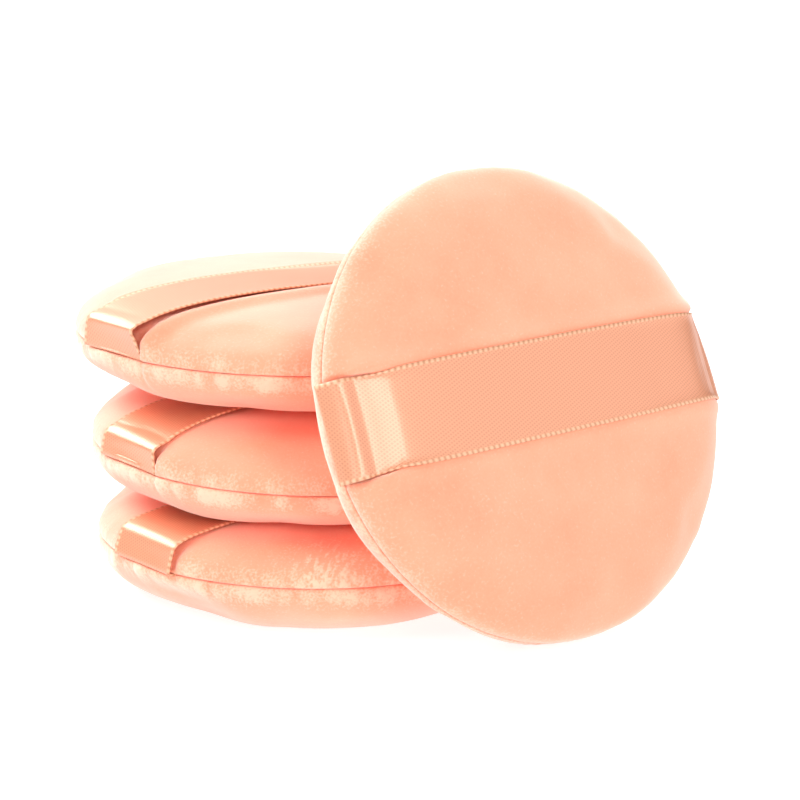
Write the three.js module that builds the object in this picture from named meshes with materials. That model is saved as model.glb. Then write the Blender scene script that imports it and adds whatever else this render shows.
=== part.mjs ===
// Set of round velour powder puffs with satin finger straps, in millimetres, +Z up.
// Three puffs lie in a stack and a fourth leans on it. All four are made alike: two velour covers are
// sewn together round a foam disc, and a strap over the back has its tails caught in that seam.
// The origin is the middle of the stack's underside, and the set is seen from -Y.
import * as THREE from 'three';

// Puff, lying on its face
const puffDiameter = 80;
const puffThickness = 16.5;
const seamHeight = 9; // seam line above the face
const seamHeightShares = { bottom: 1.05, middle: 0.84, top: 0.86, leaning: 1 }; // as each foam has settled
const faceFlatDiameter = 48; // middle of the face that lies flat on a table
const coverThickness = 1.2; // velour with its pile
const seamAllowance = 3.5; // cloth turned in behind the seam line
const foamEase = 0.5; // between the foam disc and the covers round it
const clearance = 0.3; // between pieces that touch

// Finger strap and sewing thread
const strapWidth = 16;
const strapThickness = 0.4;
const strapTail = 3; // strap held inside the seam
const threadDiameter = 0.5;

// Powers of the superellipses that round the forms: 2 is an ellipse, more is squarer
const faceFullness = 2.2;
const crownFullness = 2.5;
const strapFullness = 3.2;

// Set, with angles in degrees
const stackShiftShares = { // right and back, of the puff's radius
  bottom: [0, 0],
  middle: [-0.026, 0.094],
  top: [-0.105, 0.23],
};
const stackTiltAngles = { // front edge down, right edge up
  bottom: [0, 0],
  middle: [1.6, 0.7],
  top: [1.3, -0.7],
};
const strapAngles = { bottom: 38, middle: 37, top: 32, leaning: 1.5 };
const strapShiftShares = { bottom: -0.16, middle: -0.02, top: -0.29, leaning: 0.08 }; // of its width
const leanTurnAngle = 36.6; // way that the leaning puff's back faces, from the front towards the right
const leanAngle = 22.4; // its slant from upright
const leanSideShare = 0.287; // its place along the stack's side, of the puff's radius

// Facets
const roundSteps = 32;
const outerWallSteps = 6;
const innerWallSteps = 4;
const foldSteps = 2;
const threadSides = 4;
const strapSteps = 9; // from the seam to the middle of the crown
const strapFoldSteps = 3;
const strapAcrossSteps = 3;

const puffRadius = puffDiameter / 2;
const faceFlatRadius = faceFlatDiameter / 2;
const seamGap = strapThickness + 2 * clearance;
const allowanceOuter = puffRadius - coverThickness;
const allowanceInner = allowanceOuter - seamAllowance;
const stitchRadius = (allowanceOuter + allowanceInner) / 2; // along the middle of the allowance

const velour = { color: '#fbc3a3', roughness: 0.95, metalness: 0 };
const satin = { color: '#f2ab8b', roughness: 0.35, metalness: 0 };
const foam = { color: '#f3e6d4', roughness: 0.9, metalness: 0 };
const thread = { color: '#eba585', roughness: 0.6, metalness: 0 };

const up = new THREE.Vector3(0, 0, 1);

function piece(name, geometry, finish) {
  const mesh = new THREE.Mesh(geometry, new THREE.MeshStandardMaterial(finish));
  mesh.name = name;
  return mesh;
}

// Heights round a puff's seam: its middle, its two folds, and where the walls of the covers start.
function seamLevels(name) {
  const middle = seamHeight * seamHeightShares[name];
  const faceFold = middle - seamGap / 2;
  const backFold = middle + seamGap / 2;
  return {
    middle,
    faceFold,
    backFold,
    faceWall: faceFold - coverThickness,
    backWall: backFold + coverThickness,
  };
}

// Quarter superellipse from its widest point to its flat end, as radius and height.
function roundedWall(widest, flatRadius, fromHeight, toHeight, fullness, steps) {
  const points = [];
  for (let step = 0; step <= steps; step += 1) {
    const angle = (step / steps) * (Math.PI / 2);
    const out = step < steps ? Math.cos(angle) ** (2 / fullness) : 0;
    const along = Math.sin(angle) ** (2 / fullness);
    points.push(new THREE.Vector2(
      flatRadius + (widest - flatRadius) * out,
      fromHeight + (toHeight - fromHeight) * along,
    ));
  }
  return points;
}

// What is left of a wall past a height, starting with a corner where it is cut.
function cutWall(wall, height) {
  const way = Math.sign(wall.at(-1).y - height);
  const next = wall.findIndex((point) => way * (point.y - height) > 0);
  const before = wall[next - 1];
  const share = (height - before.y) / (wall[next].y - before.y);
  return [before.clone().lerp(wall[next], share), ...wall.slice(next)];
}

// Arc in the same plane, from one angle to another.
function arc(middle, radius, fromAngle, toAngle, steps) {
  const points = [];
  for (let step = 0; step <= steps; step += 1) {
    const angle = fromAngle + ((toAngle - fromAngle) * step) / steps;
    points.push(new THREE.Vector2(
      middle.x + radius * Math.cos(angle),
      middle.y + radius * Math.sin(angle),
    ));
  }
  return points;
}

function turned(profile) {
  return new THREE.LatheGeometry(profile, roundSteps).rotateX(Math.PI / 2);
}

// Velour cup under the seam, with its seam allowance turned in.
function faceCover(levels) {
  const corner = new THREE.Vector2(allowanceOuter, levels.faceWall);
  const outside = roundedWall(puffRadius, faceFlatRadius, levels.faceWall, 0, faceFullness, outerWallSteps);
  const fold = arc(corner, coverThickness, 0, Math.PI / 2, foldSteps);
  const inside = roundedWall(
    allowanceOuter, faceFlatRadius, levels.faceWall, coverThickness, faceFullness, innerWallSteps,
  );
  return turned([
    new THREE.Vector2(0, 0),
    ...outside.reverse(),
    ...fold.slice(1),
    new THREE.Vector2(allowanceInner, levels.faceFold),
    new THREE.Vector2(allowanceInner, levels.faceWall),
    ...inside,
    new THREE.Vector2(0, coverThickness),
  ]);
}

// Velour crown over the seam, with its seam allowance turned in.
function backCover(levels) {
  const corner = new THREE.Vector2(allowanceOuter, levels.backWall);
  const outside = roundedWall(puffRadius, 0, levels.backWall, puffThickness, crownFullness, outerWallSteps);
  const fold = arc(corner, coverThickness, -Math.PI / 2, 0, foldSteps);
  const inside = roundedWall(
    allowanceOuter, 0, levels.backWall, puffThickness - coverThickness, crownFullness, innerWallSteps,
  );
  return turned([
    ...inside.reverse(),
    new THREE.Vector2(allowanceInner, levels.backWall),
    new THREE.Vector2(allowanceInner, levels.backFold),
    ...fold.slice(0, -1),
    ...outside,
  ]);
}

// Foam disc that fills both covers, with a groove where the allowances and threads press into it.
function foamCore(levels) {
  const widest = allowanceOuter - foamEase;
  const grooveRadius = allowanceInner - foamEase;
  const threadRoom = clearance + threadDiameter + foamEase;
  const grooveBottom = levels.faceWall - threadRoom;
  const grooveTop = levels.backWall + threadRoom;
  const bottom = coverThickness + foamEase;
  const top = puffThickness - coverThickness - foamEase;
  const lower = roundedWall(widest, faceFlatRadius, levels.faceWall, bottom, faceFullness, innerWallSteps);
  const upper = roundedWall(widest, 0, levels.backWall, top, crownFullness, innerWallSteps);
  return turned([
    new THREE.Vector2(0, bottom),
    ...cutWall(lower, grooveBottom).reverse(),
    new THREE.Vector2(grooveRadius, grooveBottom),
    new THREE.Vector2(grooveRadius, grooveTop),
    ...cutWall(upper, grooveTop),
  ]);
}

// One of the two threads of the lockstitch, lying along the allowance on its own side of the seam.
function threadRing(height) {
  const ring = new THREE.TorusGeometry(stitchRadius, threadDiameter / 2, threadSides, roundSteps);
  return ring.translate(0, 0, height);
}

// Middle line of the strap as distance and height, from the tail in the seam to the other tail.
function strapRoute(levels) {
  const offset = clearance + strapThickness / 2;
  const corner = new THREE.Vector2(allowanceOuter, levels.backWall);
  const fold = arc(corner, coverThickness + offset, -Math.PI / 2, 0, strapFoldSteps);
  const shoulder = roundedWall(
    puffRadius + offset, 0, levels.backWall, puffThickness + offset, strapFullness, strapSteps,
  );
  const half = [
    new THREE.Vector2(allowanceOuter - strapTail, levels.middle),
    ...fold,
    ...shoulder.slice(1),
  ];
  const otherHalf = half.slice(0, -1).reverse().map((point) => new THREE.Vector2(-point.x, point.y));
  return [...half, ...otherHalf];
}

// Satin strap: flat across, drawn in towards its edges as the round seam that holds it is.
function fingerStrap(levels, shift) {
  const route = strapRoute(levels);
  const widest = puffRadius + clearance + strapThickness / 2;
  const across = strapAcrossSteps + 1;
  const corners = [];
  for (let along = 0; along < route.length; along += 1) {
    const before = route[Math.max(along - 1, 0)];
    const after = route[Math.min(along + 1, route.length - 1)];
    const tangent = after.clone().sub(before).normalize();
    for (const side of [-1, 1]) {
      const out = (side * strapThickness) / 2;
      const distance = route[along].x + out * tangent.y;
      const height = route[along].y - out * tangent.x;
      for (let step = 0; step < across; step += 1) {
        const sideways = shift + strapWidth * (step / strapAcrossSteps - 1 / 2);
        const drawnIn = Math.sqrt(1 - (sideways / widest) ** 2);
        corners.push(distance * drawnIn, sideways, height);
      }
    }
  }
  const faces = [];
  const quad = (a, b, c, d) => faces.push(a, c, b, a, d, c);
  const inner = (along, step) => along * 2 * across + step;
  const outer = (along, step) => inner(along, step) + across;
  const lastAlong = route.length - 1;
  const lastStep = across - 1;
  for (let along = 0; along < lastAlong; along += 1) {
    for (let step = 0; step < lastStep; step += 1) {
      quad(inner(along, step), inner(along, step + 1), inner(along + 1, step + 1), inner(along + 1, step));
      quad(outer(along, step), outer(along + 1, step), outer(along + 1, step + 1), outer(along, step + 1));
    }
    quad(inner(along, 0), inner(along + 1, 0), outer(along + 1, 0), outer(along, 0));
    quad(
      inner(along, lastStep), outer(along, lastStep), outer(along + 1, lastStep), inner(along + 1, lastStep),
    );
  }
  for (let step = 0; step < lastStep; step += 1) {
    quad(inner(0, step), outer(0, step), outer(0, step + 1), inner(0, step + 1));
    quad(
      inner(lastAlong, step), inner(lastAlong, step + 1), outer(lastAlong, step + 1), outer(lastAlong, step),
    );
  }
  const geometry = new THREE.BufferGeometry();
  geometry.setAttribute('position', new THREE.Float32BufferAttribute(corners, 3));
  geometry.setIndex(faces);
  geometry.computeVertexNormals();
  return geometry;
}

// Whole puff on its face, with its strap turned and shifted as it was sewn.
function puff(name) {
  const levels = seamLevels(name);
  const threadOffset = clearance + threadDiameter / 2;
  const strapShift = strapShiftShares[name] * strapWidth;
  const strap = piece(`${name}_finger_strap`, fingerStrap(levels, strapShift), satin);
  strap.rotation.z = THREE.MathUtils.degToRad(strapAngles[name]);
  const whole = new THREE.Group();
  whole.add(
    piece(`${name}_face_cover`, faceCover(levels), velour),
    piece(`${name}_back_cover`, backCover(levels), velour),
    piece(`${name}_foam_core`, foamCore(levels), foam),
    strap,
    piece(`${name}_needle_thread`, threadRing(levels.backWall + threadOffset), thread),
    piece(`${name}_bobbin_thread`, threadRing(levels.faceWall - threadOffset), thread),
  );
  return whole;
}

// How far the puffs reach along a direction.
function reach(puffs, direction) {
  const corner = new THREE.Vector3();
  let farthest = -Infinity;
  for (const whole of puffs) {
    whole.updateMatrixWorld(true);
    whole.traverse((mesh) => {
      if (!mesh.isMesh) return;
      const corners = mesh.geometry.getAttribute('position');
      for (let index = 0; index < corners.count; index += 1) {
        corner.fromBufferAttribute(corners, index).applyMatrix4(mesh.matrixWorld);
        farthest = Math.max(farthest, corner.dot(direction));
      }
    });
  }
  return farthest;
}

// Slides a puff along a direction until its flat face rests on the puffs that carry it.
function seat(whole, carriers, direction) {
  const faceNormal = up.clone().applyQuaternion(whole.quaternion);
  const missing = reach(carriers, faceNormal) + clearance - whole.position.dot(faceNormal);
  whole.position.addScaledVector(direction, missing / direction.dot(faceNormal));
}

const group = new THREE.Group();
const stack = [];
for (const name of ['bottom', 'middle', 'top']) {
  const whole = puff(name);
  const [rightShare, backShare] = stackShiftShares[name];
  const [frontDown, rightUp] = stackTiltAngles[name];
  whole.position.set(rightShare * puffRadius, backShare * puffRadius, 0);
  whole.rotation.set(THREE.MathUtils.degToRad(frontDown), -THREE.MathUtils.degToRad(rightUp), 0);
  if (stack.length > 0) seat(whole, stack.slice(-1), up);
  stack.push(whole);
  group.add(whole);
}

// The leaning puff stands on its rim, and its face touches the stack.
const leaning = puff('leaning');
const facing = THREE.MathUtils.degToRad(leanTurnAngle);
const upright = THREE.MathUtils.degToRad(90 - leanAngle);
const forwards = new THREE.Vector3(Math.sin(facing), -Math.cos(facing), 0);
const sideways = new THREE.Vector3(Math.cos(facing), Math.sin(facing), 0);
leaning.rotation.set(upright, 0, facing, 'ZXY');
leaning.position.z = reach([leaning], up.clone().negate());
leaning.position.addScaledVector(sideways, leanSideShare * puffRadius);
seat(leaning, stack, forwards);
group.add(leaning);

export default group;
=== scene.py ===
import math

import bpy
import numpy as np
from mathutils import Matrix, Vector, bvhtree, noise


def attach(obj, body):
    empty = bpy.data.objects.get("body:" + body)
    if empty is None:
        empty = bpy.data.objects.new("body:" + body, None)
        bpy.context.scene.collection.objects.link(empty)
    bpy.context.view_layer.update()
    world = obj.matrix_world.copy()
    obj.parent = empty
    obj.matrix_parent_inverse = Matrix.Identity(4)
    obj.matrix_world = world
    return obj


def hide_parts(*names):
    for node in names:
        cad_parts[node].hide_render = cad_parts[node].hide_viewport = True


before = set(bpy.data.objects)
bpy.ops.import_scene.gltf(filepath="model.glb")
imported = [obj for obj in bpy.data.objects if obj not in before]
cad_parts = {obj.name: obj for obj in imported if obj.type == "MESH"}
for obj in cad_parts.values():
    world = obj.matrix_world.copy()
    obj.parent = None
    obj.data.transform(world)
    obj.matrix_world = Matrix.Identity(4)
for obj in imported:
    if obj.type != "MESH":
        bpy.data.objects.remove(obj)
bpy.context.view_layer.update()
mm = 0.001
puffNames = ["bottom", "middle", "top", "leaning"]
print("stage: frame loaded")

# Camera, where the photograph was taken from: its place in mm, pitch in degrees up from straight down
cameraSet = {"place": (14.08, -386.9, 124.6), "pitch": 76.5, "lens": 100.9, "sensor": 36}


def addCamera():
    data = bpy.data.cameras.new("camera")
    data.lens = cameraSet["lens"]
    data.sensor_width = cameraSet["sensor"]
    camera = bpy.data.objects.new("camera", data)
    camera.location = [x * mm for x in cameraSet["place"]]
    camera.rotation_euler = (math.radians(cameraSet["pitch"]), 0, 0)
    bpy.context.scene.collection.objects.link(camera)
    bpy.context.scene.camera = camera


addCamera()
print("stage: camera")


# Small helpers
def deselectAll():
    if bpy.context.object and bpy.context.object.mode != "OBJECT":
        bpy.ops.object.mode_set(mode="OBJECT")
    for thing in bpy.context.selected_objects:
        thing.select_set(False)


def makeActive(piece):
    deselectAll()
    piece.select_set(True)
    bpy.context.view_layer.objects.active = piece


def meshPiece(name, points, faces):
    mesh = bpy.data.meshes.new(name)
    mesh.from_pydata([tuple(p) for p in points], [], faces)
    mesh.update()
    piece = bpy.data.objects.new(name, mesh)
    bpy.context.scene.collection.objects.link(piece)
    return piece


def readPoints(mesh):
    points = np.empty(len(mesh.vertices) * 3)
    mesh.vertices.foreach_get("co", points)
    return points.reshape(-1, 3)


def writePoints(mesh, points):
    mesh.vertices.foreach_set("co", np.asarray(points, float).ravel())
    mesh.update()


def readNormals(mesh):
    normals = np.empty(len(mesh.vertices) * 3, np.float32)
    mesh.vertices.foreach_get("normal", normals)
    return normals.reshape(-1, 3).astype(float)


def applyModifier(piece, kind, **settings):
    makeActive(piece)
    modifier = piece.modifiers.new(kind.title(), kind)
    for key, value in settings.items():
        setattr(modifier, key, value)
    bpy.ops.object.modifier_apply(modifier=modifier.name)


def smoothShade(piece):
    piece.data.polygons.foreach_set("use_smooth", [True] * len(piece.data.polygons))
    piece.data.update()


def step(low, high, value):
    share = np.clip((value - low) / (high - low), 0, 1)
    return share * share * (3 - 2 * share)


def noiseAt(points, size, seed):
    return np.array([noise.noise(Vector(p) / size + Vector((seed, seed * 0.7, -seed))) for p in points])


# Where each puff lies, read off its CAD nodes. In its own frame a puff is in millimetres:
# X runs along its strap, Z is its axis towards the strap, and the seam is at height 0.
def placePuff(name):
    node = {part: readPoints(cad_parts[f"{name}_{part}"].data) / mm for part in (
        "needle_thread", "bobbin_thread", "face_cover", "back_cover", "finger_strap")}
    needle, bobbin = node["needle_thread"].mean(0), node["bobbin_thread"].mean(0)
    axis = (needle - bobbin) / np.linalg.norm(needle - bobbin)
    middle = (needle + bobbin) / 2
    strap = node["finger_strap"] - middle
    flat = strap - np.outer(strap @ axis, axis)
    spread = np.linalg.eigh(flat.T @ flat)[1][:, -1]
    along = spread * (1 if spread[0] > 0 else -1)
    across = np.cross(axis, along)
    rim = node["back_cover"] - middle
    rim -= np.outer(rim @ axis, axis)
    sideways = flat @ across
    matrix = Matrix.Identity(4)
    for column, direction in enumerate((along, across, axis)):
        for row in range(3):
            matrix[row][column] = direction[row] * mm
    for row in range(3):
        matrix[row][3] = middle[row] * mm
    return {
        "matrix": matrix,
        "radius": float(np.linalg.norm(rim, axis=1).max()),
        "face": float(-((node["face_cover"] - middle) @ axis).min()),
        "crown": float(((node["back_cover"] - middle) @ axis).max()),
        "strapShift": float((sideways.max() + sideways.min()) / 2),
        "strapHalf": float((sideways.max() - sideways.min()) / 2),
        "strapTop": float((strap @ axis).max()),
    }


places = {name: placePuff(name) for name in puffNames}
for name in puffNames:
    print("place", name, {k: round(v, 3) for k, v in places[name].items() if k != "matrix"})


def seatPiece(piece, name, slot, *nodes):
    piece.data.transform(places[name]["matrix"])
    piece.data.update()
    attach(piece, f"{name}_puff")
    if nodes:
        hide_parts(*nodes)
    smoothShade(piece)


# How each puff was stuffed, stacked and handled, in mm
puffForms = {
    "bottom": {
        "seed": 3.1,
        "waves": [(2, 0.004, 0.4), (3, 0.003, 1.9)],  # count round, share of the radius, turn
        "seamTilt": (0, 0, 0),  # seam line higher at the strap's right end, at the far side, and all round
        "drawnIn": {"near": (-0.1, 0.3), "far": (0.2, 0.3)},  # rim behind the strap's left and right ends
        "lumps": [(-36.2, -12.6, 3.4, 1.6, 0.45)],  # pile beside the strap: place, reach and lift
        "rubbed": [(-21, -30, 7, 0.7), (-9, -34, 7, 0.9), (3, -36, 7, 0.8)],  # place, reach and how much
        "pillow": (-60, 0.7),  # how far to the right the velour rises beside the ribbon, and how much
        "dents": [(-9, 9, 2.6)],  # place across, reach and depth of a tuck under the strap's left end
        # how strongly the left rim is painted pale as a highlight, where the light from the left falls on it
        "rimHighlight": 0.15,
        "gathered": 1.2,  # how strongly the seam gathers the velour
        # Pressed in under the ribbon's left and right ends: how far, and the heights where that
        # begins, is full, begins to fade and is over
        "pressed": [(0.9, 0.3, 1.2, 3, 5.5), (0.9, 0.3, 1.2, 3, 5.5)],
    },
    "middle": {
        "seed": 11.7,
        "waves": [(2, 0.003, 2.2), (5, 0.002, 0.3)],
        "seamTilt": (-1.12, 0.84, -0.42),
        "drawnIn": {"near": (0.95, 0.3), "far": (0.1, 0.3)},
        "lumps": [(-37.4, -10.4, 2.8, 1.5, 0.4)],
        "rubbed": [(-14, -34, 7, 0.25)],
        "pillow": (-60, 0.7),
        "dents": [(-8, 6, 0.8)],
        "rimHighlight": 0.15,
        "gathered": 1.2,
        "pressed": [(0.9, 0.3, 1.2, 3, 5.5), (0.9, 0.3, 1.2, 3, 5.5)],
    },
    "top": {
        "seed": 23.9,
        "waves": [(3, 0.003, 1.1), (4, 0.002, 2.6)],
        "seamTilt": (0, 0, 0),
        "drawnIn": {"near": (1.0, 0.3), "far": (-0.2, 0.3)},
        "lumps": [(-37.3, -13.6, 2.2, 1.5, 1.1), (-36.6, -13.7, 4.2, 1.6, 1.4), (-35, -13.8, 6.1, 1.7, 0.9)],
        "rubbed": [(-18, -34, 7, 0.2)],
        "pillow": (30, 1.15),
        "dents": [],
        "rimHighlight": 0.15,
        "gathered": 1,
        "pressed": [(0.9, 0.3, 1.2, 3, 5.5), (0.9, 0.3, 1.2, 3, 5.5)],
    },
    "leaning": {
        "seed": 37.3,
        "waves": [(2, 0.002, 1.2), (5, 0.002, 0.9)],
        "seamTilt": (0, 0, 0),
        "drawnIn": {"near": (0.4, -0.3), "far": (0.4, 0.7)},
        "lumps": [(-34.5, -8.6, 4.6, 2.4, 0.35)],
        "rubbed": [(-20, -18, 9, 0.15)],
        "pillow": (60, 0.6),
        "dents": [],
        "rimHighlight": 0.45,
        "gathered": 0.4,
        "pressed": [(4.2, 0.9, 3.6, 3.7, 7.6), (0.5, 0.3, 1.2, 3, 6)],
    },
}


def settle(points, name):
    # The foam has given more on one side, so the seam line isn't quite level there
    place, (right, back, whole) = places[name], puffForms[name]["seamTilt"]
    limit = np.where(points[:, 2] < 0, place["face"], place["crown"])
    hold = np.clip(1 - (points[:, 2] / limit) ** 2, 0, 1)
    points[:, 2] += hold * ((right * points[:, 0] + back * points[:, 1]) / place["radius"] + whole)
    return points


# Velour covers, in mm
velourCover = {
    "rings": 20,  # rings of cells from the middle to the widest place
    "grading": 1.3,  # rings lie closer towards the seam
    "wallSteps": 240,
    "turnSteps": 10,
    "foldRadius": 0.5,
    "foldIn": 0.38,  # how far the seam draws the fold in
    "wallStart": 1.7,  # over the seam's middle, where the covers are widest
    "seamGap": 0.1,
    "allowance": 3.4,
    "allowanceRing": 0.4,  # share of the allowance where a ring of cells parts it
    "thickness": 0.8,
    "startShare": 0.984,  # a cover starts this much slimmer and swells
    "simScale": 10,  # Blender's cloth behaves best on pieces about a metre wide
    "quality": 5,
    "pressure": 2.5,
    "slack": 0.015,
    "bending": 0.3,
    "frames": 20,
    "smoothings": 5,  # how often the puckers of the swollen cloth are pressed out
    "mostMove": 0.9,
    "tailRoom": 0.12,  # how far each cover opens at the seam for the strap's tail
}
# Side is 1 over the seam and -1 under it, flat is the radius of the level middle, and fullness rounds the
# form. The rest is the height of each kind of relief, and how pale the gathers comb the pile
coverForms = {
    "back": {
        "side": 1, "flat": 0, "fullness": 2.5,
        "gather": 0.14, "crumb": 0.06, "soft": 0.09, "comb": 0.35,
    },
    "face": {
        "side": -1, "flat": 24, "fullness": 2.2,
        "gather": 0.26, "crumb": 0.15, "soft": 0.07, "comb": 0.75,
    },
}
# Size of each pattern in the pile and how far from the seam it reaches, in mm. Pleats are finer folds with
# a share of their strength, and uneven is the height of small unevenness everywhere
pileRelief = {
    "nearSeam": 9,  # folds, pleats and crumbs end here
    "foldSize": 2.6, "foldReach": 4,
    "foldRise": 0.3,  # the way up counts so much less than the way round
    "pleatSize": 0.9, "pleatReach": 2.4, "pleatShare": 0.8,
    "crumbSize": 0.8, "crumbFrom": 1, "crumbReach": 1.8,
    "softSize": 14,
    "unevenSize": 4, "uneven": 0.03,
    "liftFrom": (0.12, 0.7),  # heights over the seam where the relief sets in
    "combedFrom": 1.4, "combedReach": 2, "rimHighlightReach": 2.2,
    "combedShares": (0.75, 1.2, 0.5),  # everywhere, on the folds and on the pleats
    "rimHighlightAlong": (10, -30),  # along the strap, where the left rim's painted highlight sets in
}


def coverOutline(form, place):
    # Radius and height of each ring from the middle out, round the fold, to the end of the allowance
    height = place["face"] if form["side"] < 0 else place["crown"]
    base = velourCover["foldRadius"] + velourCover["seamGap"] / 2
    start = velourCover["wallStart"]
    widest = place["radius"] * velourCover["startShare"]
    height = start + (height - start) * velourCover["startShare"]
    wall = [(0, height)]
    for share in np.linspace(0, 1, velourCover["wallSteps"]):
        turn = share * math.pi / 2
        wall.append((
            form["flat"] + (widest - form["flat"]) * math.sin(turn) ** (2 / form["fullness"]),
            start + (height - start) * max(math.cos(turn), 0) ** (2 / form["fullness"]),
        ))
    for share in np.linspace(1 / velourCover["turnSteps"], 1, velourCover["turnSteps"]):
        turn = share * math.pi / 2
        wall.append((
            widest - velourCover["foldIn"] * (1 - math.cos(turn)),
            start - (start - base) * math.sin(turn),
        ))
    widest -= velourCover["foldIn"]
    wall = np.array(wall)
    lengths = np.concatenate([[0], np.cumsum(np.linalg.norm(np.diff(wall, axis=0), axis=1))])
    graded = 1 - (1 - np.linspace(0, 1, velourCover["rings"] + 1)) ** velourCover["grading"]
    graded *= lengths[-1]
    outline = [(np.interp(x, lengths, wall[:, 0]), np.interp(x, lengths, wall[:, 1])) for x in graded]
    fold = velourCover["foldRadius"]
    for turn in (math.pi / 4, math.pi / 2):
        outline.append((widest - fold + fold * math.cos(turn), base - fold * math.sin(turn)))
    outline.append((widest - fold - velourCover["allowance"] * velourCover["allowanceRing"], base - fold))
    outline.append((widest - fold - velourCover["allowance"], base - fold))
    return outline


def gridTurn(right, back):
    # Angle of a point of a square grid once the square is drawn out to a disc
    if abs(right) >= abs(back):
        return (math.pi / 4) * (back / right if right else 0) + (math.pi if right < 0 else 0)
    return math.pi / 2 - (math.pi / 4) * (right / back) + (math.pi if back < 0 else 0)


def coverShell(name, kind):
    # Open shell of even cells with no pole, and which ring each point is on
    form, place = coverForms[kind], places[name]
    outline = coverOutline(form, place)
    last = len(outline) - 1
    points, rings, faces = [], [], []
    for i in range(-last, last + 1):
        for j in range(-last, last + 1):
            ring = max(abs(i), abs(j))
            turn = gridTurn(i, j)
            radius, height = outline[ring]
            points.append((radius * math.cos(turn), radius * math.sin(turn), form["side"] * height))
            rings.append(ring)
    row = 2 * last + 1
    for i in range(row - 1):
        for j in range(row - 1):
            a = i * row + j
            quad = [a, a + row, a + row + 1, a + 1]
            faces.append(quad if form["side"] > 0 else quad[::-1])
    return meshPiece(f"{name}_{kind}_velour", points, faces), np.array(rings)


def plump(shell, rings):
    # Air pressure swells the cover from the seam, where it is pinned
    start = readPoints(shell.data)
    writePoints(shell.data, start * mm * velourCover["simScale"])
    pinned = shell.vertex_groups.new(name="pinned")
    pinned.add([int(i) for i in np.nonzero(rings >= velourCover["rings"])[0]], 1.0, "REPLACE")
    cloth = shell.modifiers.new("Cloth", "CLOTH")
    cloth.settings.quality = velourCover["quality"]
    cloth.settings.use_pressure = True
    cloth.settings.uniform_pressure_force = velourCover["pressure"]
    cloth.settings.vertex_group_mass = "pinned"
    cloth.settings.shrink_min = -velourCover["slack"]
    cloth.settings.bending_stiffness = velourCover["bending"]
    cloth.settings.effector_weights.gravity = 0
    cloth.point_cache.frame_start = 1
    cloth.point_cache.frame_end = velourCover["frames"]
    for frameNumber in range(1, velourCover["frames"] + 1):
        bpy.context.scene.frame_set(frameNumber)
    swollen = shell.evaluated_get(bpy.context.evaluated_depsgraph_get()).to_mesh()
    moved = readPoints(swollen) / (mm * velourCover["simScale"]) - start
    shell.modifiers.clear()
    shell.vertex_groups.clear()
    # Air lets small puckers stay that the foam inside presses out
    row = int(math.sqrt(len(moved)))
    grid, held = moved.reshape(row, row, 3), (rings >= velourCover["rings"]).reshape(row, row)
    for _ in range(velourCover["smoothings"]):
        wide = np.pad(grid, ((1, 1), (1, 1), (0, 0)), mode="edge")
        grid = sum(wide[i:i + row, j:j + row] for i in range(3) for j in range(3)) / 9
        grid[held] = 0
    moved = grid.reshape(-1, 3)
    far = np.linalg.norm(moved, axis=1, keepdims=True)
    return start + moved * np.minimum(1, velourCover["mostMove"] / np.maximum(far, 1e-9))


# Velour round the ribbon, in mm
ribbonGroove = {
    "edge": 0.6,  # what happens under the ribbon fades out so far from its edge, each way
    "bankFrom": 0.9, "bankReach": 1.7,  # where the velour beside it is highest, and how wide that is
    "bankEnds": (-38, -33),  # along the strap, where the bank rises at its left end
    "bankFade": 6,
    "pullReach": 4,  # how far from the seam the tails draw the rim in
    "pullEnds": (20, 30),  # and from the middle along the strap, where that sets in
    "tailUp": (0.9, 0.4),  # heights where the seam begins to open for a tail and is open
    "dentUp": (0.6, 5), "dentAlong": (-26, -34),  # where a tuck under the left end sets in
}


def strapWindow(sideways, place):
    # 1 under the strap's width, falling to 0 past its edges
    beside = np.abs(sideways - place["strapShift"]) - place["strapHalf"]
    return 1 - step(-ribbonGroove["edge"], ribbonGroove["edge"], beside)


def gathers(points, place, size, seed, near):
    # Almost the same all the way up a place on the rim, so it reads as small folds square to the seam
    turn = np.arctan2(points[near, 1], points[near, 0])
    onRim = np.stack([np.cos(turn), np.sin(turn), np.zeros(len(turn))], 1) * place["radius"]
    onRim[:, 2] = points[near, 2] * pileRelief["foldRise"]
    folds = np.zeros(len(points))
    folds[near] = noiseAt(onRim, size, seed)
    return folds


def rubbedPile(points, name):
    # Where a thumb has brushed the pile askew
    rubbed = np.zeros(len(points))
    for right, back, reach, most in puffForms[name]["rubbed"]:
        away = (points[:, 0] - right) ** 2 + (points[:, 1] - back) ** 2
        rubbed = np.maximum(rubbed, most * np.exp(-away / reach ** 2))
    return rubbed


def pillow(points, name):
    # The ribbon presses a groove, and the velour rises beside it where nothing lies over it
    place, (reachRight, most) = places[name], puffForms[name]["pillow"]
    beside = np.abs(points[:, 1] - place["strapShift"]) - place["strapHalf"]
    fade = ribbonGroove["bankFade"]
    along = step(*ribbonGroove["bankEnds"], points[:, 0])
    along = along * step(reachRight + fade, reachRight - fade, points[:, 0])
    return most * np.exp(-((beside - ribbonGroove["bankFrom"]) / ribbonGroove["bankReach"]) ** 2) * along


def drawIn(points, name, height):
    # The strap's tails hold the rim in at both ends of the strap, not as much at both edges
    place, drawn = places[name], puffForms[name]["drawnIn"]
    share = np.clip((points[:, 1] - place["strapShift"]) / (2 * place["strapHalf"]) + 0.5, 0, 1)
    end = (points[:, 0] > 0).astype(int)
    amount = np.array(drawn["near"])[end] * (1 - share) + np.array(drawn["far"])[end] * share
    held = strapWindow(points[:, 1], place) * step(*ribbonGroove["pullEnds"], np.abs(points[:, 0]))
    pull = amount * np.exp(-(height / ribbonGroove["pullReach"]) ** 2)
    return held, pull


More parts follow.
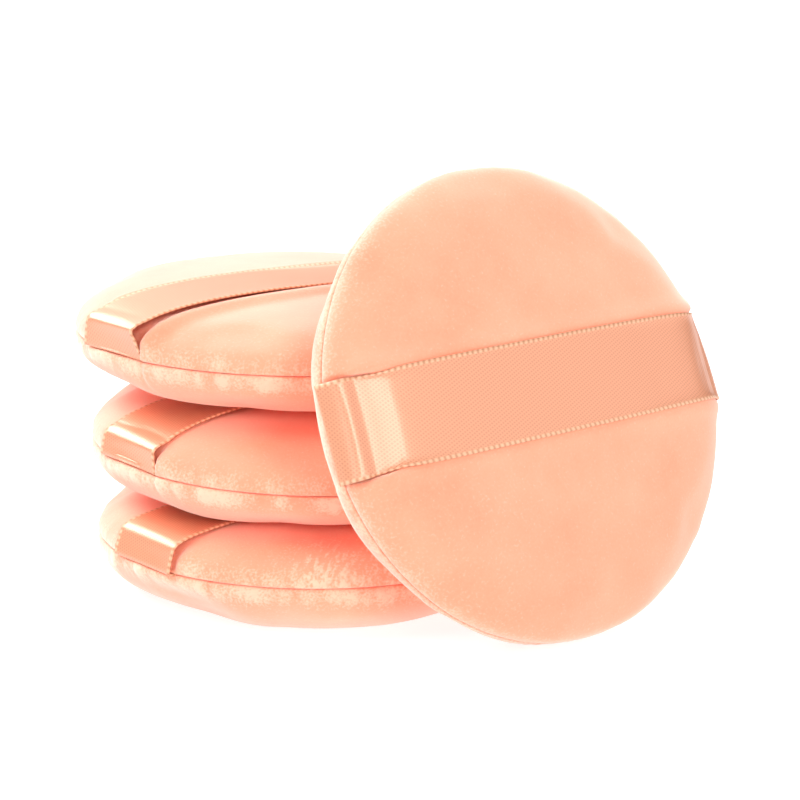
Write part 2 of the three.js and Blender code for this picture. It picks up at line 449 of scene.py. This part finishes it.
def seamRelief(points, name, kind, fromSeam):
    # Gathers by the seam, crumbs of pile and soft unevenness, and the two sizes of gathers by themselves
    form, place, made = coverForms[kind], places[name], puffForms[name]
    seed = made["seed"] + (50 if kind == "face" else 0)
    near = fromSeam < pileRelief["nearSeam"]
    folds, pleats = [gathers(points, place, size, seed + size, near)
                     for size in (pileRelief["foldSize"], pileRelief["pleatSize"])]
    crumbs = np.zeros(len(points))
    crumbs[near] = noiseAt(points[near], pileRelief["crumbSize"], seed + 3)
    lift = form["gather"] * (
        folds * np.exp(-fromSeam / pileRelief["foldReach"])
        + pileRelief["pleatShare"] * pleats * np.exp(-fromSeam / pileRelief["pleatReach"]))
    lift += form["crumb"] * crumbs * np.exp(
        -((fromSeam - pileRelief["crumbFrom"]) / pileRelief["crumbReach"]) ** 2)
    lift *= made["gathered"]
    lift += (form["soft"] * noiseAt(points, pileRelief["softSize"], seed + 9)
             + pileRelief["uneven"] * noiseAt(points, pileRelief["unevenSize"], seed + 13))
    return lift, folds, pleats


def combedPileAndRimHighlight(points, name, kind, fromSeam, folds, pleats):
    # Where the gathers comb the pile up pale, and a painted highlight on the left rim, where the light from
    # the left falls on it
    form, made = coverForms[kind], puffForms[name]
    comb = form["comb"] * min(1, made["gathered"])
    away = (fromSeam - pileRelief["combedFrom"]) / pileRelief["combedReach"]
    base, onFolds, onPleats = pileRelief["combedShares"]
    combedAndRimHighlight = (base + onFolds * folds + onPleats * pleats) * comb * np.exp(-away ** 2)
    # Painted highlight: the left rim is painted pale near the seam, where the light from the left falls on it
    pale = made["rimHighlight"] * np.exp(-fromSeam / pileRelief["rimHighlightReach"])
    combedAndRimHighlight += pale * step(*pileRelief["rimHighlightAlong"], points[:, 0])
    return combedAndRimHighlight


def outOfRound(points, waves):
    # No puff is cut quite round
    turn = np.arctan2(points[:, 1], points[:, 0])
    squeeze = np.ones(len(points))
    for count, share, start in waves:
        squeeze -= share * (1 + np.cos(count * turn + start)) / 2
    points[:, :2] *= squeeze[:, None]


def pressedIn(points, height, ends):
    # How far the velour gives way under the ribbon, as the left or the right end presses it
    left, right = [most * step(begins, full, height) * (1 - step(fades, over, height))
                   for most, begins, full, fades, over in ends]
    return np.where(points[:, 0] < 0, left, right)


def holdAtStrap(points, name, side, height):
    # Held in by the strap's tails, under its ends out of the ribbon's way, and open at the seam for it
    held, pull = drawIn(points, name, height)
    if side > 0:
        pull = pull + pressedIn(points, height, puffForms[name]["pressed"])
    points[:, 0] -= np.sign(points[:, 0]) * held * pull
    points[:, 2] += side * velourCover["tailRoom"] * (held * step(*ribbonGroove["tailUp"], height))


def tuck(points, height, dents):
    # The face's velour is tucked in under the strap's left end
    for back, reach, most in dents:
        share = np.exp(-((points[:, 1] - back) / reach) ** 2) * step(*ribbonGroove["dentUp"], height)
        points[:, 0] += most * share * step(*ribbonGroove["dentAlong"], points[:, 0])


def fitRoom(points, place, side, raised):
    # Flat where it rests, and no taller or wider than the room it has
    limit = (place["face"] if side < 0 else place["crown"]) + raised
    points[:, 2] = side * np.minimum(points[:, 2] * side, limit)
    radius = np.linalg.norm(points[:, :2], axis=1)
    points[:, :2] *= np.minimum(1, place["radius"] / np.maximum(radius, 1e-9))[:, None]


def finishCover(piece, name, kind):
    side, place, made = coverForms[kind]["side"], places[name], puffForms[name]
    points, normals = readPoints(piece.data), readNormals(piece.data)
    height = points[:, 2] * side
    fromSeam = np.hypot(np.linalg.norm(points[:, :2], axis=1) - place["radius"], height)
    lift, folds, pleats = seamRelief(points, name, kind, fromSeam)
    raised, rubbed = np.zeros(len(points)), np.zeros(len(points))
    if side > 0:
        rubbed = rubbedPile(points, name)
        raised = pillow(points, name)
        lift += raised
        for right, back, up, reach, most in made["lumps"]:
            away = np.linalg.norm(points - np.array([right, back, up]), axis=1)
            lift += most * np.exp(-(away / reach) ** 2)
    points += normals * (lift * step(*pileRelief["liftFrom"], height))[:, None]
    outOfRound(points, made["waves"])
    holdAtStrap(points, name, side, height)
    if side < 0:
        tuck(points, height, made["dents"])
    fitRoom(points, place, side, raised)
    points = settle(points, name)
    writePoints(piece.data, points)
    combedAndRimHighlight = combedPileAndRimHighlight(points, name, kind, fromSeam, folds, pleats)
    # The combed pile and the left rim's painted highlight go to the shader as one attribute
    for label, values in (("combedAndRimHighlight", combedAndRimHighlight), ("rubbed", rubbed)):
        layer = piece.data.attributes.new(label, "FLOAT", "POINT")
        layer.data.foreach_set("value", np.clip(values, 0, 1).astype(np.float32))


outerSkins = {}


def makeCover(name, kind):
    piece, rings = coverShell(name, kind)
    form, place = coverForms[kind], places[name]
    points = plump(piece, rings)
    limit = place["face"] if form["side"] < 0 else place["crown"]
    free = rings < velourCover["rings"]
    if form["side"] > 0:
        points[free, 2] *= limit / points[free, 2].max()
    points[:, 2] = form["side"] * np.clip(points[:, 2] * form["side"], 0, limit)
    widen = place["radius"] / np.linalg.norm(points[:, :2], axis=1).max()
    writePoints(piece.data, points * np.array([widen, widen, 1]))
    applyModifier(piece, "SUBSURF", levels=2, render_levels=2)
    finishCover(piece, name, kind)
    faces = [tuple(face.vertices) for face in piece.data.polygons]
    outerSkins[name, kind] = bvhtree.BVHTree.FromPolygons(readPoints(piece.data).tolist(), faces)
    applyModifier(piece, "SOLIDIFY", thickness=velourCover["thickness"], offset=-1)
    seatPiece(piece, name, "velour", f"{name}_{kind}_cover")
    return piece


covers = {(name, kind): makeCover(name, kind) for name in puffNames for kind in coverForms}
print("stage: velour covers")

# Foam discs, in mm, cut like the covers with a groove where the seam allowances press in
foamDisc = {
    "ease": 1.7,  # room under the cover's outside
    "least": 1.15,  # where the cover is pressed in, at least so far under its outside
    "leastReach": 4,  # and only for foam that lies so near to the cover
    "grooveHalf": 2.9,
    "grooveRadius": 34.8,
    "grooveTaper": 0.4,
    "lip": (0.15, 0.3),  # the groove's edge, out and up from it
    "tailRoom": 0.6,  # drawn in more than the covers, where the strap's tails lie
    "steps": 112,
    "firstShare": 0.05,  # of a quarter turn, from the middle to the first ring
    "rings": 20,
}


def foamHalf(name, kind):
    # Radius and height from the middle out to the groove
    form, place = coverForms[kind], places[name]
    height = (place["face"] if kind == "face" else place["crown"]) - foamDisc["ease"]
    widest, start = place["radius"] - foamDisc["ease"], velourCover["wallStart"]
    outline = []
    for share in np.linspace(foamDisc["firstShare"], 1, foamDisc["rings"]):
        turn = share * math.pi / 2
        out = form["flat"] + (widest - form["flat"]) * math.sin(turn) ** (2 / form["fullness"])
        up = start + (height - start) * max(math.cos(turn), 0) ** (2 / form["fullness"])
        if up > foamDisc["grooveHalf"] + foamDisc["lip"][1]:
            outline.append((out, form["side"] * up))
    outline.append((outline[-1][0] + foamDisc["lip"][0], form["side"] * foamDisc["grooveHalf"]))
    inner = foamDisc["grooveHalf"] - foamDisc["grooveTaper"]
    outline.append((foamDisc["grooveRadius"], form["side"] * inner))
    return outline


def tuckIn(point, name):
    # Into the puff, where the foam would lie in a cover
    for kind in coverForms:
        nearest, normal, _, _ = outerSkins[name, kind].find_nearest(point)
        depth = (nearest - point).dot(normal)
        if (nearest - point).length < foamDisc["leastReach"] and depth < foamDisc["least"]:
            point = point - normal * (foamDisc["least"] - depth)
    return point


def makeFoam(name):
    place = places[name]
    outline = foamHalf(name, "face") + foamHalf(name, "back")[::-1]
    steps = foamDisc["steps"]
    points = []
    for out, up in outline:
        for k in range(steps):
            turn = 2 * math.pi * k / steps
            points.append((out * math.cos(turn), out * math.sin(turn), up))
    points += [(0, 0, foamDisc["ease"] - place["face"]), (0, 0, place["crown"] - foamDisc["ease"])]
    points = np.array(points)
    held, pull = drawIn(points, name, np.abs(points[:, 2]))
    points[:, 0] -= np.sign(points[:, 0]) * held * (pull + foamDisc["tailRoom"])
    points = settle(points, name)
    points = [tuckIn(Vector(p), name) for p in points]
    faces = []
    for k in range(steps):
        after = (k + 1) % steps
        faces.append([len(points) - 2, after, k])
        for ring in range(len(outline) - 1):
            low, high = ring * steps, (ring + 1) * steps
            faces.append([low + k, low + after, high + after, high + k])
        last = (len(outline) - 1) * steps
        faces.append([last + k, last + after, len(points) - 1])
    piece = meshPiece(f"{name}_foam_disc", points, faces)
    seatPiece(piece, name, "foam", f"{name}_foam_core")
    return piece


foams = {name: makeFoam(name) for name in puffNames}
print("stage: foam discs")

# Satin straps, in mm
satinStrap = {
    "thickness": 0.3,
    "rows": 380,
    "columns": 28,
    "clear": 0.12,  # least room over the velour
    "freeFrom": 1.2,  # over the seam, where the ribbon comes clear of the covers
    "easeRows": 9,  # a rise is eased out over as many rows each way
    "curveSteps": 24,
    "cup": 0.25,  # how far the edges of a steep end stand off its middle
    "cupMiddle": 0.4,  # so much of that goes to sinking the middle
    "steepSlope": (0.25, 0.8), "steepUp": (0.6, 2.5),  # slopes and heights where that sets in
    "bead": 1.05,  # spacing of the loops along each selvedge
    "beadHeight": 0.05,
    "beadInside": 0.3, "beadReach": 0.25,  # from the ribbon's edge to a loop's top, and its width
    # Places on the way up an end, as distance and height: from where it leaves the seam, from the bend,
    # and from the bend or the last crease to where the shoulder starts
    "tail": [(-4.6, 0), (-1.6, 0), (-0.35, 0.05), (0, 0.55)],
    "underBend": (0.3, -0.6), "halfUp": -0.05,  # and half of the way up to the bend, a little lower
    "bendRound": [(-0.15, 0.05), (-0.85, 0.55), (-1.75, 0.9)],
    "pastBend": (-2.7, 1.2),
    "pastCreases": (-1.5, 0.65),
    "shoulderShares": [1, 0.97, 0.93, 0.88, 0.82, 0.74, 0.64, 0.5, 0.34, 0.17],
    # Where a left end's rise fades in, along the strap and up from the seam
    "riseAlong": (12, -12),
    "riseUp": (1, 3),
}
uvUnit = 100  # mm across one unit of a ribbon's UV map
# Each strap's left and right end. For its near and far edge: distance out of the seam, distance of the bend,
# and the bend's height. Creases are more places past the bend, as distance and height, and cup is a share of
# the ribbon's own
strapEnds = {
    "bottom": [
        {"near": (38.9, 37.5, 4.6), "far": (39.6, 37.9, 4.6), "fullness": 3.0},
        {"near": (38.5, 37.8, 4.2), "far": (38.5, 37.8, 4.2), "fullness": 3.0},
    ],
    "middle": [
        {"near": (38.2, 38.0, 4.3), "far": (39.4, 38.1, 4.3), "fullness": 3.0},
        {"near": (38.5, 37.8, 4.4), "far": (38.5, 37.8, 4.4), "fullness": 3.0},
    ],
    "top": [
        {"near": (37.0, 38.6, 5.3), "far": (40.3, 39.4, 4.6), "fullness": 3.0},
        {"near": (38.5, 37.8, 4.4), "far": (38.5, 37.8, 4.4), "fullness": 3.0},
    ],
    "leaning": [
        {"near": (39.9, 39.1, 2.4), "far": (40.0, 39.1, 2.4), "fullness": 3.2, "creases": [
            (38.9, 2.6), (38.3, 3.3), (37.6, 3.8), (36.8, 4.0),
            (36.0, 3.9), (35.2, 3.95), (34.2, 4.4), (33.1, 4.95),
        ]},
        {"near": (40.7, 40.4, 2.0), "far": (39.3, 38.7, 2.2), "fullness": 2.6, "cup": -1.6},
    ],
}
# How much the near and far edges rise at the left end, where the ribbon stands off the crown
strapRises = {"top": (0.55, 0.4), "middle": (0.35, 0.1)}


def smoothRoute(corners, count):
    # Catmull-Rom curve through the corners, with points an even distance apart
    ends = [2 * corners[0] - corners[1], *corners, 2 * corners[-1] - corners[-2]]
    fine = []
    for k in range(1, len(ends) - 2):
        before, here, there, after = ends[k - 1:k + 3]
        for t in np.linspace(0, 1, satinStrap["curveSteps"], endpoint=False):
            fine.append(0.5 * (2 * here + (there - before) * t
                               + (2 * before - 5 * here + 4 * there - after) * t ** 2
                               + (3 * here - before - 3 * there + after) * t ** 3))
    fine.append(corners[-1])
    fine = np.array(fine)
    lengths = np.concatenate([[0], np.cumsum(np.linalg.norm(np.diff(fine, axis=0), axis=1))])
    even = np.linspace(0, lengths[-1], count)
    return np.stack([np.interp(even, lengths, fine[:, k]) for k in range(2)], 1), lengths[-1]


def halfRoute(end, top, share):
    # From the tail in the seam, up the facet and over the bend to the crown, as distance and height
    seam, bend, up = [a + (b - a) * share for a, b in zip(end["near"], end["far"])]
    half = [(seam + out, rise) for out, rise in satinStrap["tail"]]
    beyond, under = satinStrap["underBend"]
    half += [((seam + bend + beyond) / 2, (up + satinStrap["halfUp"]) / 2), (bend + beyond, up + under)]
    if "creases" in end:
        half += end["creases"]
        corner, onward = end["creases"][-1], satinStrap["pastCreases"]
    else:
        half += [(bend + out, up + rise) for out, rise in satinStrap["bendRound"]]
        corner, onward = (bend, up), satinStrap["pastBend"]
    start = (corner[0] + onward[0], corner[1] + onward[1])
    power = end["fullness"]
    widest = start[0] / (1 - (start[1] / top) ** power) ** (1 / power)
    for out in satinStrap["shoulderShares"]:
        distance = start[0] * out
        half.append((distance, top * (1 - (distance / widest) ** power) ** (1 / power)))
    return half


def strapRoute(name, share):
    top = places[name]["strapTop"] - satinStrap["thickness"] / 2
    left, right = [halfRoute(end, top, share) for end in strapEnds[name]]
    whole = [(-out, up) for out, up in left] + [(0, top)] + right[::-1]
    return smoothRoute([np.array(corner) for corner in whole], satinStrap["rows"] + 1)


def liftOff(point, skin):
    # Out of the velour, where the strap would lie in it
    least = satinStrap["clear"] + satinStrap["thickness"] / 2
    nearest, normal, _, _ = skin.find_nearest(point)
    inside = least - (point - nearest).dot(normal)
    return point + normal * inside if inside > 0 else point


def clearOf(points, skin):
    return [liftOff(Vector(p), skin) if p[2] > satinStrap["freeFrom"] else Vector(p) for p in points]


def restOn(points, skin, rows, columns):
    # The same for the whole strap, with the rise eased out along it
    rise = (np.array(clearOf(points, skin)) - points).reshape(rows + 1, columns + 1, 3)
    width = satinStrap["easeRows"]
    padded = np.pad(rise, ((width, width), (0, 0), (0, 0)), mode="edge")
    eased = sum(padded[k:k + rows + 1] for k in range(2 * width + 1)) / (2 * width + 1)
    return clearOf(points + eased.reshape(-1, 3), skin)


def standOff(direction, height, share, along, half, cup):
    # How far a place on the ribbon lies off its route: cupped where it is steep, with loops at the edges
    steep = step(*satinStrap["steepSlope"], abs(direction[1])) * step(*satinStrap["steepUp"], height)
    cupped = satinStrap["cup"] * (share * share - satinStrap["cupMiddle"]) * steep * cup
    inside = (half * (1 - abs(share)) - satinStrap["beadInside"]) / satinStrap["beadReach"]
    bead = 0.5 + 0.5 * math.cos(2 * math.pi * along / satinStrap["bead"])
    return cupped + satinStrap["beadHeight"] * bead * math.exp(-inside ** 2)


def strapPoints(name, routes, length):
    # The ribbon's places, row by row from its left tail, and where each lies on the flat ribbon
    place, half = places[name], places[name]["strapHalf"]
    columns, rows = satinStrap["columns"], satinStrap["rows"]
    left, right = strapEnds[name]
    points, layout = [], []
    for k in range(rows + 1):
        along, cup = k / rows * length, (right if k > rows / 2 else left).get("cup", 1)
        for column, route in enumerate(routes):
            share = column / columns * 2 - 1
            direction = route[min(k + 1, rows)] - route[max(k - 1, 0)]
            direction /= np.linalg.norm(direction)
            outward = np.array([-direction[1], direction[0]])
            x, height = route[k] + outward * standOff(direction, route[k][1], share, along, half, cup)
            points.append((x, place["strapShift"] + share * half, height))
            layout.append((along, share * half))
    points = np.array(points)
    near, far = strapRises.get(name, (0, 0))
    share = (points[:, 1] - place["strapShift"]) / (2 * half) + 0.5
    risen = step(*satinStrap["riseAlong"], points[:, 0]) * step(*satinStrap["riseUp"], points[:, 2])
    points[:, 2] += risen * (near + (far - near) * share)
    return points, layout


def makeStrap(name):
    columns, rows = satinStrap["columns"], satinStrap["rows"]
    routes, lengths = zip(*[strapRoute(name, column / columns) for column in range(columns + 1)])
    length = float(np.mean(lengths))
    print("strap", name, "flat length", round(length, 1), "mm")
    points, layout = strapPoints(name, routes, length)
    points = restOn(settle(points, name), outerSkins[name, "back"], rows, columns)
    row = columns + 1
    faces = []
    for k in range(rows):
        for column in range(columns):
            a = k * row + column
            faces.append([a, a + row, a + row + 1, a + 1])
    piece = meshPiece(f"{name}_satin_strap", points, faces)
    woven = piece.data.uv_layers.new(name="woven")
    for loop in piece.data.loops:
        along, across = layout[loop.vertex_index]
        woven.data[loop.index].uv = (along / uvUnit, across / uvUnit)
    applyModifier(piece, "SOLIDIFY", thickness=satinStrap["thickness"], offset=0)
    seatPiece(piece, name, "satin_ribbon", f"{name}_finger_strap")
    return piece


straps = {name: makeStrap(name) for name in puffNames}
print("stage: satin straps")


# Materials. Every pattern's size is in mm, as the real one or as coarse as it needs to show
def linear(hexColour):
    values = [int(hexColour[k:k + 2], 16) / 255 for k in (1, 3, 5)]
    return tuple(v / 12.92 if v <= 0.04045 else ((v + 0.055) / 1.055) ** 2.4 for v in values) + (1,)


def addNode(tree, kind, settings=None, links=None):
    node = tree.nodes.new(kind)
    for key, value in (settings or {}).items():
        if isinstance(key, int) or key in node.inputs:
            node.inputs[key].default_value = value
        else:
            setattr(node, key, value)
    for key, source in (links or {}).items():
        tree.links.new(source, node.inputs[key])
    return node


def newMaterial(name):
    material = bpy.data.materials.new(name)
    material.use_nodes = True
    material.node_tree.nodes.clear()
    return material, material.node_tree


def finishMaterial(tree, shader):
    addNode(tree, "ShaderNodeOutputMaterial", links={"Surface": shader.outputs[0]})


# Warp-knitted polyester velour, sheared and brushed: matt, with a pale bloom where the pile is seen end on.
# Its fibres are far too fine to show, so the grain and the nap are drawn as clumps of them.
# BrushedTo is the way that the rubbed streaks run, in degrees from the X axis towards Y
velourLook = {
    "deep": "#FF9973", "pale": "#FFAB88", "combedAndRimHighlight": "#FFD4B8", "bloom": "#FFF8F0",
    "patch": 11, "grain": 0.42, "nap": 0.75, "brushedTo": 71,
}


def makeVelour():
    material, tree = newMaterial("sheared_polyester_velour")
    place = addNode(tree, "ShaderNodeTexCoord").outputs["Object"]
    combedAndRimHighlight = addNode(tree, "ShaderNodeAttribute", {"attribute_name": "combedAndRimHighlight"}).outputs["Fac"]
    patches = addNode(tree, "ShaderNodeTexNoise", {"Scale": 1 / (velourLook["patch"] * mm), "Detail": 3.0},
                      {"Vector": place})
    grain = addNode(tree, "ShaderNodeTexNoise", {"Scale": 1 / (velourLook["grain"] * mm), "Detail": 2.0},
                    {"Vector": place})
    rubbed = addNode(tree, "ShaderNodeAttribute", {"attribute_name": "rubbed"}).outputs["Fac"]
    brushed = addNode(tree, "ShaderNodeMapping", {
        "vector_type": "TEXTURE", "Scale": (8, 1, 1.6),
        "Rotation": (0, 0, math.radians(velourLook["brushedTo"])),
    }, {"Vector": place})
    nap = addNode(tree, "ShaderNodeTexNoise", {"Scale": 1 / (velourLook["nap"] * mm), "Detail": 1.0},
                  {"Vector": brushed.outputs[0]})
    mixed = addNode(tree, "ShaderNodeMath", {"operation": "MULTIPLY_ADD", 1: 0.4},
                    {0: grain.outputs["Fac"], 2: patches.outputs["Fac"]})
    share = addNode(tree, "ShaderNodeMapRange", {"From Min": 0.4, "From Max": 1.0},
                    {"Value": mixed.outputs[0]})
    pile = addNode(tree, "ShaderNodeMix", {
        "data_type": "RGBA", 6: linear(velourLook["deep"]), 7: linear(velourLook["pale"]),
    }, {0: share.outputs[0]})
    ridges = addNode(tree, "ShaderNodeMapRange", {"From Min": 0.42, "From Max": 0.62},
                     {"Value": nap.outputs["Fac"]})
    napAndRimHighlight = addNode(tree, "ShaderNodeMath", {"operation": "MULTIPLY_ADD"},
                    {0: ridges.outputs[0], 1: rubbed, 2: combedAndRimHighlight})
    tuftsAndRimHighlight = addNode(tree, "ShaderNodeMath", {"operation": "MULTIPLY_ADD", 1: 1.6},
                    {0: grain.outputs["Fac"], 2: napAndRimHighlight.outputs[0]})
    streaksAndRimHighlight = addNode(tree, "ShaderNodeMapRange", {"From Min": 1.0, "From Max": 1.7, "To Max": 0.75},
                      {"Value": tuftsAndRimHighlight.outputs[0]})
    # The pale colour draws the combed and rubbed pile, and over the left rim it is a painted highlight
    colour = addNode(tree, "ShaderNodeMix", {"data_type": "RGBA", 7: linear(velourLook["combedAndRimHighlight"])},
                     {0: streaksAndRimHighlight.outputs[0], 6: pile.outputs[2]})
    swept = addNode(tree, "ShaderNodeMath", {"operation": "MULTIPLY_ADD", 1: 2.5, 2: 0.3}, {0: rubbed})
    relief = addNode(tree, "ShaderNodeMath", {"operation": "MULTIPLY_ADD"},
                     {0: nap.outputs["Fac"], 1: swept.outputs[0], 2: grain.outputs["Fac"]})
    bump = addNode(tree, "ShaderNodeBump", {"Strength": 0.55, "Distance": 0.12 * mm},
                   {"Height": relief.outputs[0]})
    shader = addNode(tree, "ShaderNodeBsdfPrincipled", {
        "Roughness": 0.9, "Diffuse Roughness": 0.6, "Specular IOR Level": 0.8, "Coat Weight": 0.55,
        "Coat Roughness": 0.75, "Sheen Weight": 0.85, "Sheen Roughness": 0.5,
        "Sheen Tint": linear(velourLook["bloom"]),
    }, {"Base Color": colour.outputs[2], "Normal": bump.outputs[0]})
    finishMaterial(tree, shader)
    return material


# Polyester satin ribbon, woven in a steep twill with looped selvedges: silky light at its bends and dull
# between. Its threads are too fine to show, so the twill and its floats are drawn a few threads wide
satinLook = {
    # selvedge is the loops' colour, lighter on their tops as a painted highlight; hollowShade is painted
    # shade in the hollows between them
    "face": "#E69B76", "line": "#CE8360", "selvedge": "#EDB994", "hollowShade": "#CE8C66",
    "twill": 0.56, "twillAngle": 22.5, "floats": 0.5, "floatAngle": -52,
    "selvedgeWidth": 0.6, "selvedgeBlend": 0.1,
}


def waveScale(spacing):
    # A Wave texture of scale 1 repeats every pi / 10 of its coordinates
    return math.pi / (10 * spacing)


def turnedWeave(tree, woven, angle):
    # The ribbon's UV map in mm, turned so that bands run at an angle to it
    return addNode(tree, "ShaderNodeMapping", {
        "Rotation": (0, 0, math.radians(90 - angle)), "Scale": (uvUnit, uvUnit, uvUnit),
    }, {"Vector": woven}).outputs[0]


def makeSatin():
    material, tree = newMaterial("woven_polyester_satin_ribbon")
    woven = addNode(tree, "ShaderNodeUVMap", {"uv_map": "woven"}).outputs[0]
    twill = addNode(tree, "ShaderNodeTexWave", {"Scale": waveScale(satinLook["twill"])},
                    {"Vector": turnedWeave(tree, woven, satinLook["twillAngle"])})
    floats = addNode(tree, "ShaderNodeTexWave", {"Scale": waveScale(satinLook["floats"])},
                     {"Vector": turnedWeave(tree, woven, satinLook["floatAngle"])})
    weave = addNode(tree, "ShaderNodeMath", {"operation": "MAXIMUM"},
                    {0: twill.outputs["Fac"], 1: floats.outputs["Fac"]})
    axes = addNode(tree, "ShaderNodeSeparateXYZ", links={"Vector": woven})
    fromMiddle = addNode(tree, "ShaderNodeMath", {"operation": "ABSOLUTE"}, {0: axes.outputs["Y"]})
    half = places["leaning"]["strapHalf"] / uvUnit
    inSelvedge = addNode(tree, "ShaderNodeMapRange", {
        "From Min": half - (satinLook["selvedgeWidth"] + satinLook["selvedgeBlend"]) / uvUnit,
        "From Max": half - (satinLook["selvedgeWidth"] - satinLook["selvedgeBlend"]) / uvUnit,
    }, {"Value": fromMiddle.outputs[0]})
    # Along each selvedge the loops' tops are painted lighter as lit and the hollows between them darker as
    # painted shade, in step with the loops' small relief
    turns = addNode(tree, "ShaderNodeMath", {
        "operation": "MULTIPLY", 1: 2 * uvUnit * math.pi / satinStrap["bead"],
    }, {0: axes.outputs["X"]})
    beads = addNode(tree, "ShaderNodeMath", {"operation": "COSINE"}, {0: turns.outputs[0]})
    ground = addNode(tree, "ShaderNodeMix", {
        "data_type": "RGBA", 6: linear(satinLook["line"]), 7: linear(satinLook["face"]),
    }, {0: weave.outputs[0]})
    lit = addNode(tree, "ShaderNodeMapRange", {"From Min": -1.0, "From Max": 0.6},
                  {"Value": beads.outputs[0]})
    edge = addNode(tree, "ShaderNodeMix", {
        "data_type": "RGBA", 6: linear(satinLook["hollowShade"]), 7: linear(satinLook["selvedge"]),
    }, {0: lit.outputs[0]})
    colour = addNode(tree, "ShaderNodeMix", {"data_type": "RGBA"},
                     {0: inSelvedge.outputs[0], 6: ground.outputs[2], 7: edge.outputs[2]})
    bump = addNode(tree, "ShaderNodeBump", {"Strength": 0.5, "Distance": 0.04 * mm},
                   {"Height": weave.outputs[0]})
    roughness = addNode(tree, "ShaderNodeMapRange", {"To Min": 0.42, "To Max": 0.7},
                        {"Value": inSelvedge.outputs[0]})
    shader = addNode(tree, "ShaderNodeBsdfPrincipled", {
        "Metallic": 0.25, "Specular IOR Level": 0.6, "Coat Weight": 0.5, "Coat Roughness": 0.34,
        "Coat IOR": 1.7,
    }, {"Base Color": colour.outputs[2], "Normal": bump.outputs[0], "Roughness": roughness.outputs[0]})
    finishMaterial(tree, shader)
    return material


def plainFinish(name, colour, roughness, grain, depth):
    material, tree = newMaterial(name)
    place = addNode(tree, "ShaderNodeTexCoord").outputs["Object"]
    spots = addNode(tree, "ShaderNodeTexNoise", {"Scale": 1 / (grain * mm), "Detail": 3.0}, {"Vector": place})
    bump = addNode(tree, "ShaderNodeBump", {"Strength": 0.5, "Distance": depth * mm},
                   {"Height": spots.outputs["Fac"]})
    shader = addNode(tree, "ShaderNodeBsdfPrincipled", {"Base Color": linear(colour), "Roughness": roughness},
                     {"Normal": bump.outputs[0]})
    finishMaterial(tree, shader)
    return material


velour = makeVelour()
satin = makeSatin()
# Both lie inside the covers: foam rough with cut cells, and dull thread, with grain coarser than the real
foam = plainFinish("slab_cut_polyurethane_foam", "#F3E6D4", 0.9, 0.6, 0.2)
thread = plainFinish("spun_polyester_thread", "#F6C0A2", 0.6, 0.3, 0.05)
for cover in covers.values():
    cover.data.materials.append(velour)
for strap in straps.values():
    strap.data.materials.append(satin)
for disc in foams.values():
    disc.data.materials.append(foam)
for name in puffNames:
    for part in ("needle_thread", "bobbin_thread"):
        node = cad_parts[f"{name}_{part}"]
        node.data.materials.clear()
        node.data.materials.append(thread)
print("stage: materials")

# White light table, in metres, and soft light from all round with the most from behind on the left.
# Towards is the way from the puffs to a lamp, and spread is its width in degrees
studio = {"floor": 8, "colour": "#A6A6A6", "sky": 0.12, "glow": 0.78}
lamps = [
    {"name": "panel_behind_left", "towards": (-0.6, 0.5, 0.62), "strength": 2.65, "spread": 34},
    {"name": "panel_behind", "towards": (0, 0.7, 0.7), "strength": 1.15, "spread": 40},
    {"name": "panel_top", "towards": (-0.15, 0.2, 1), "strength": 0.3, "spread": 50},
    {"name": "panel_left", "towards": (-0.55, -0.1, 0.83), "strength": 1.95, "spread": 40},
    {"name": "panel_front_right", "towards": (0.35, -0.82, 0.45), "strength": 1.35, "spread": 22},
    {"name": "panel_front_left", "towards": (-0.4, -0.82, 0.38), "strength": 0.6, "spread": 22},
    {"name": "panel_right", "towards": (0.89, -0.22, 0.38), "strength": 0.95, "spread": 60},
]


def makeStudio():
    deselectAll()
    bpy.ops.mesh.primitive_plane_add(size=studio["floor"])
    floor = bpy.context.object
    floor.name = "light_table"
    material, tree = newMaterial("lit_opal_acrylic")
    shader = addNode(tree, "ShaderNodeBsdfPrincipled", {
        "Base Color": linear(studio["colour"]), "Roughness": 0.9, "Emission Color": linear("#FFFFFF"),
        "Emission Strength": studio["glow"],
    })
    finishMaterial(tree, shader)
    floor.data.materials.append(material)
    world = bpy.data.worlds.new("studio")
    world.use_nodes = True
    world.node_tree.nodes.clear()
    sky = addNode(world.node_tree, "ShaderNodeBackground", {"Color": (1, 1, 1, 1), "Strength": studio["sky"]})
    addNode(world.node_tree, "ShaderNodeOutputWorld", links={"Surface": sky.outputs[0]})
    bpy.context.scene.world = world


def addLamp(lamp):
    data = bpy.data.lights.new(lamp["name"], "SUN")
    data.energy = lamp["strength"]
    data.angle = math.radians(lamp["spread"])
    light = bpy.data.objects.new(lamp["name"], data)
    light.location = Vector(lamp["towards"])
    light.rotation_euler = Vector(lamp["towards"]).to_track_quat("Z", "Y").to_euler()
    bpy.context.scene.collection.objects.link(light)


makeStudio()
for lamp in lamps:
    addLamp(lamp)
bpy.context.scene.view_settings.view_transform = "Standard"
bpy.context.scene.cycles.diffuse_bounces = 10  # red light gathers in the narrow gaps between the puffs
print("stage: studio")
